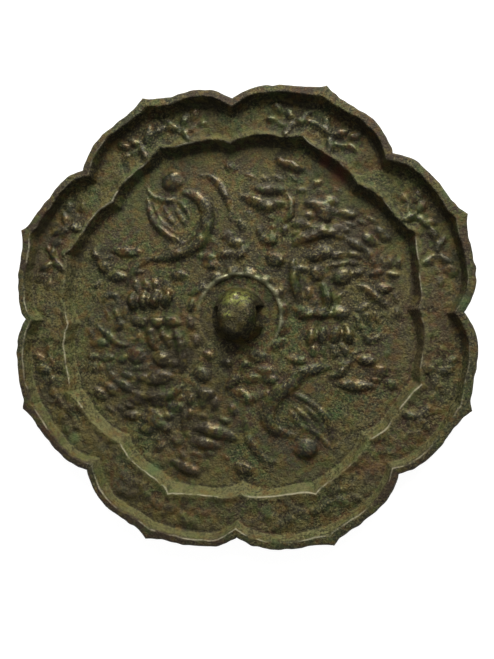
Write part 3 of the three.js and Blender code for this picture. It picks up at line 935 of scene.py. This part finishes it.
def patina_ground(nodes, place):
    """The olive patina with its large patches, pale painted light on the walls turned to the light, and the
    shades of the rim and the carving, which also paint shade on the knob's steep sides.
    """
    tone = nodes.two_shades(place, 60.0, 0.35, 0.65, (132, 122, 72), (104, 94, 62))
    tone = nodes.tint(tone, nodes.attribute("crowd"), 0.70, colour(80, 76, 54))
    for scale, low, high, strength, shade in GROUND_PATCHES:
        tone = nodes.patches(tone, place, scale, low, high, strength, colour(*shade))
    # Pale painted light on the walls turned to the light and on their feet
    tone = nodes.tint(tone, nodes.attribute("wall"), 0.75, colour(146, 146, 96))
    rim = nodes.two_shades(place, 40.0, 0.48, 0.58, (80, 66, 54), (86, 92, 64))
    tone = nodes.mix(nodes.attribute("rim"), tone, rim)
    # Dark colour of the raised carving; on the knob it lies on the steep sides as painted shade
    tops = nodes.two_shades(place, 55.0, 0.44, 0.56, (60, 52, 44), (50, 56, 46))
    return nodes.tint(tone, nodes.attribute("raised"), 0.85, tops)


def darkening_over(nodes, place, tone):
    """The tone under the darkening of low ground and the painted shade, which is darkest over the knob and
    round it.
    """
    knob = nodes.attribute("knob")
    darkening = nodes.two_shades(place, 30.0, 0.52, 0.62, (48, 42, 35), (80, 52, 42))
    thickness = nodes.math("MULTIPLY_ADD", knob, 0.22, 0.70)
    # Darkening of low ground, with painted shade round and on the knob, in the cord hole and on shaded walls
    tone = nodes.tint(tone, nodes.ramp(nodes.attribute("hollow"), 0.05, 0.90), thickness, darkening)
    # Darker still over the knob, with painted shade in its moat and in the cord hole
    return nodes.tint(tone, knob, 0.62, colour(50, 48, 32))


def grains_over(nodes, place, tone):
    """The tone under fine patches, dark and pale grains in sandy areas, and rusty and mossy specks."""
    for scale, low, high, strength, shade in FINE_PATCHES:
        tone = nodes.patches(tone, place, scale, low, high, strength, colour(*shade))
    sandy = nodes.ramp(nodes.noise(place, 42.0), 0.40, 0.60)
    dark_grains = nodes.math("MULTIPLY_ADD", sandy, 0.35, 0.36)
    pale_grains = nodes.math("MULTIPLY_ADD", sandy, 0.35, 0.18)
    tone = nodes.patches(tone, place, 1300.0, 0.46, 0.58, dark_grains, colour(28, 27, 20))
    tone = nodes.patches(tone, place, 1600.0, 0.52, 0.62, pale_grains, colour(172, 162, 112))
    for group_scale, low, high, speck_scale, shade in SPECKS:
        groups = nodes.ramp(nodes.noise(place, group_scale), low, high)
        strength = nodes.math("MULTIPLY", groups, SPECK_STRENGTH)
        tone = nodes.patches(tone, place, speck_scale, 0.46, 0.58, strength, colour(*shade))
    return tone


def spots_over(nodes, place, tone):
    """The tone under spots of rust and green, pale crust that is partly painted light on the knob's upper
    side, the ring's crest as a painted highlight, and edges worn to the metal with a painted highlight.
    """
    tone = nodes.tint(tone, nodes.attribute("rust"), 0.60, colour(112, 50, 36))
    tone = nodes.tint(tone, nodes.attribute("green"), nodes.noise(place, 500.0), colour(100, 132, 84))
    # Painted highlight along the ring's crest
    tone = nodes.tint(tone, nodes.attribute("crest"), 0.80, colour(176, 178, 142))
    # Pale crust on the knob's upper side: verdigris, with painted light on the side turned to the light
    crust = nodes.ramp(nodes.noise(place, 900.0), 0.42, 0.56)
    crust = nodes.math("MULTIPLY", nodes.attribute("lit_verdigris"), crust)
    tone = nodes.tint(tone, crust, 0.66, colour(164, 172, 88))
    # Pale line on the walls' upper edges: worn metal with a painted highlight, broken by noise
    bare_and_highlit = nodes.ramp(nodes.noise(place, 110.0), 0.46, 0.58)
    return nodes.tint(tone, nodes.attribute("edge"), bare_and_highlit, colour(214, 208, 178))


def bronze_material():
    """Worn bronze under an olive patina, with dark, smoother raised parts."""
    nodes = Nodes("patinated_bronze")
    place = nodes.add("ShaderNodeTexCoord").outputs["Object"]
    tone = patina_ground(nodes, place)
    tone = darkening_over(nodes, place, tone)
    tone = grains_over(nodes, place, tone)
    tone = spots_over(nodes, place, tone)
    nodes.set(nodes.shader.inputs["Base Color"], tone)

    smooth_parts = nodes.ramp(nodes.noise(place, 300.0), 0.30, 0.55)
    polish = nodes.math("MULTIPLY", nodes.attribute("raised"), smooth_parts)
    nodes.set(nodes.shader.inputs["Roughness"], nodes.math("MULTIPLY_ADD", polish, -0.36, 0.66))
    nodes.shader.inputs["Metallic"].default_value = 0.3
    nodes.shader.inputs["Specular IOR Level"].default_value = 0.22
    nodes.shader.inputs["Specular Tint"].default_value = (1.0, 0.96, 0.84, 1)

    grain = nodes.math("ADD", nodes.noise(place, 1900.0), nodes.noise(place, 700.0))
    bump = nodes.add("ShaderNodeBump", Height=grain, Distance=0.0005)
    nodes.set(bump.inputs["Strength"], nodes.math("MULTIPLY_ADD", polish, -0.65, 0.85))
    nodes.set(nodes.shader.inputs["Normal"], bump.outputs["Normal"])
    return nodes.material


def floor_material():
    """A nearly white floor that takes a faint shadow."""
    nodes = Nodes("pale_floor")
    nodes.shader.inputs["Base Color"].default_value = (0.15, 0.15, 0.15, 1)
    nodes.shader.inputs["Roughness"].default_value = 0.9
    nodes.shader.inputs["Emission Color"].default_value = (1, 1, 1, 1)
    nodes.shader.inputs["Emission Strength"].default_value = 0.93
    return nodes.material


def make_floor():
    """The ground that the mirror lies on. It is not a piece of the part."""
    corners = FLOOR_HALF * np.array([[-1, -1, 0], [1, -1, 0], [1, 1, 0], [-1, 1, 0]])
    floor = mesh_object("floor", corners, [[0, 1, 2], [0, 2, 3]])
    floor.data.materials.append(floor_material())


def make_camera():
    """The photograph's view: from above, a little to the right, near enough for some perspective."""
    turn = Matrix.Rotation(CAMERA_LEAN, 3, "X") @ Matrix.Rotation(CAMERA_SIDE, 3, "Y")
    turn = (turn @ Matrix.Rotation(CAMERA_ROLL, 3, "Z")).transposed()
    to_mirror = Vector((CAMERA_SHIFT[0], CAMERA_SHIFT[1], -1)) * CAMERA_DISTANCE * MM
    lens = bpy.data.cameras.new("camera")
    lens.sensor_width = 36
    lens.lens = FOCAL_PIXELS / IMAGE_HEIGHT * lens.sensor_width
    lens.clip_start = 0.005
    camera = bpy.data.objects.new("camera", lens)
    camera.matrix_world = turn.to_4x4()
    camera.location = -(turn @ to_mirror) + Vector((0, 0, RIM_TOP * MM))
    bpy.context.scene.collection.objects.link(camera)
    bpy.context.scene.camera = camera


def make_light(name, place, size, power):
    """A soft square light at that place in millimetres, turned to the mirror's middle."""
    lamp = bpy.data.lights.new(name, "AREA")
    lamp.shape = "SQUARE"
    lamp.size = size * MM
    lamp.energy = power
    lamp.color = (1.0, 0.97, 0.90)
    light = bpy.data.objects.new(name, lamp)
    light.location = Vector(place) * MM
    light.rotation_euler = (-light.location).to_track_quat("-Z", "Y").to_euler()
    bpy.context.scene.collection.objects.link(light)


def make_lights():
    """A warm, window-like light from the top of the picture, over an even pale surround."""
    make_light("window", WINDOW_PLACE, WINDOW_SIZE, WINDOW_POWER)
    world = bpy.data.worlds.new("surround")
    world.use_nodes = True
    background = world.node_tree.nodes["Background"]
    background.inputs["Color"].default_value = (1, 0.99, 0.97, 1)
    background.inputs["Strength"].default_value = SURROUND_STRENGTH
    bpy.context.scene.world = world


def main():
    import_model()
    make_camera()
    make_floor()
    make_lights()
    casting = make_casting()
    casting.data.materials.append(bronze_material())
    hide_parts("bronze_mirror")
    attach(casting, "root")
    bpy.context.scene.view_settings.view_transform = "Standard"


main()
